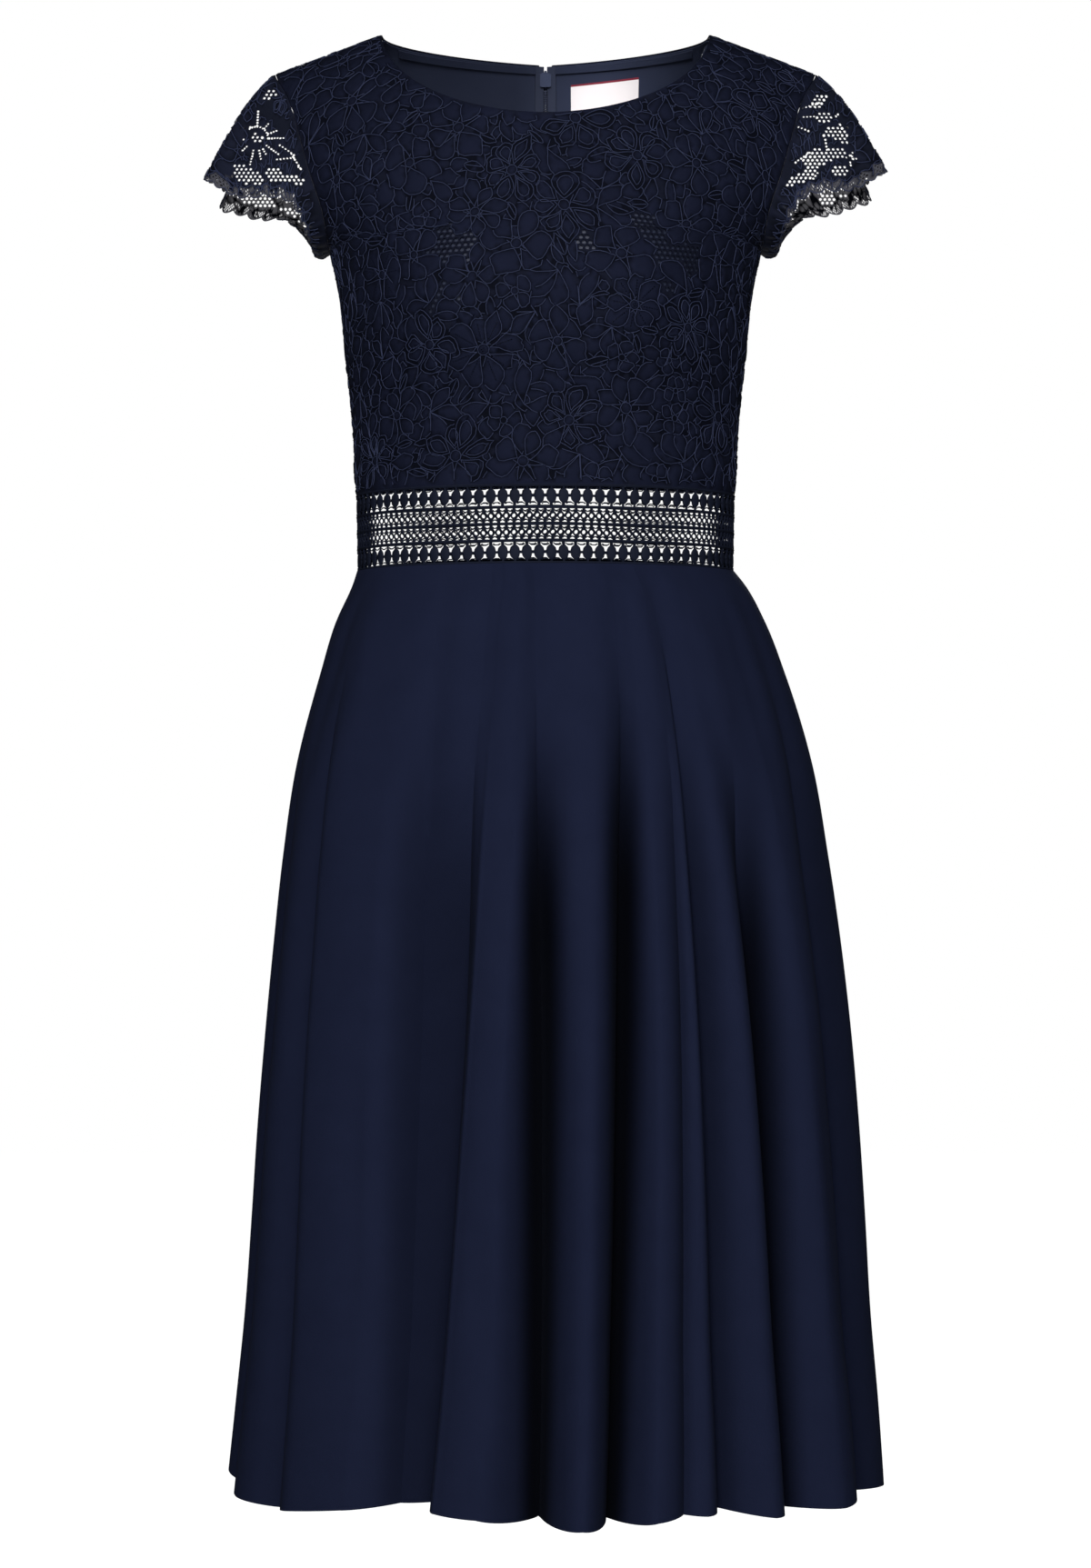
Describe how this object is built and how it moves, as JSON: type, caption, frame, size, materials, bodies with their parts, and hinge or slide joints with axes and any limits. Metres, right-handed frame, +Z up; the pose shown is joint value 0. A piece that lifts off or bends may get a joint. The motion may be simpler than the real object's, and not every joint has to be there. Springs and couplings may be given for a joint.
{
  "type": "cocktail dress",
  "caption": "Knee-length cocktail dress with a lace bodice over a lining, lace cap sleeves, an open lace waistband, a flared skirt and a concealed back zip.",
  "frame": {"origin": "midway between the two shoulder seams, where the wearer's shoulders hold the dress", "axes": "+Z up, the front faces -Y, and +X is the wearer's left"},
  "size_m": [0.4731, 0.3648, 1.0191],
  "materials": {
    "navy_lace": "matt corded floral lace in navy",
    "navy_band_lace": "matt open band lace in navy",
    "navy_lining": "smooth woven lining in navy",
    "navy_crepe": "matt crepe in navy",
    "navy_tape": "woven zip tape and nylon coil in navy",
    "navy_metal": "navy enamelled metal",
    "ivory_satin": "ivory satin label, bare"
  },
  "bodies": {
    "root": {"bodice_front": "navy_lace", "bodice_back_left": "navy_lace", "bodice_back_right": "navy_lace", "lining_front": "navy_lining", "lining_back_left": "navy_lining", "lining_back_right": "navy_lining", "neck_facing_left": "navy_lining", "neck_facing_right": "navy_lining", "sleeve_left": "navy_lace", "sleeve_right": "navy_lace", "waist_lace_front": "navy_band_lace", "waist_lace_back": "navy_band_lace", "skirt_front": "navy_crepe", "skirt_back": "navy_crepe", "zip_tape_left": "navy_tape", "zip_tape_right": "navy_tape", "zip_coil": "navy_tape", "zip_slider": "navy_metal", "neck_label": "ivory_satin"},
    "zip_pull": {"zip_pull": "navy_metal"}
  },
  "joints": [
    {"name": "zip_pull_hinge", "type": "hinge", "parent": "root", "child": "zip_pull", "pos_m": [0, 0.07877, 0.00209], "axis": [1, 0, 0], "range_deg": [0, 150]}
  ]
}
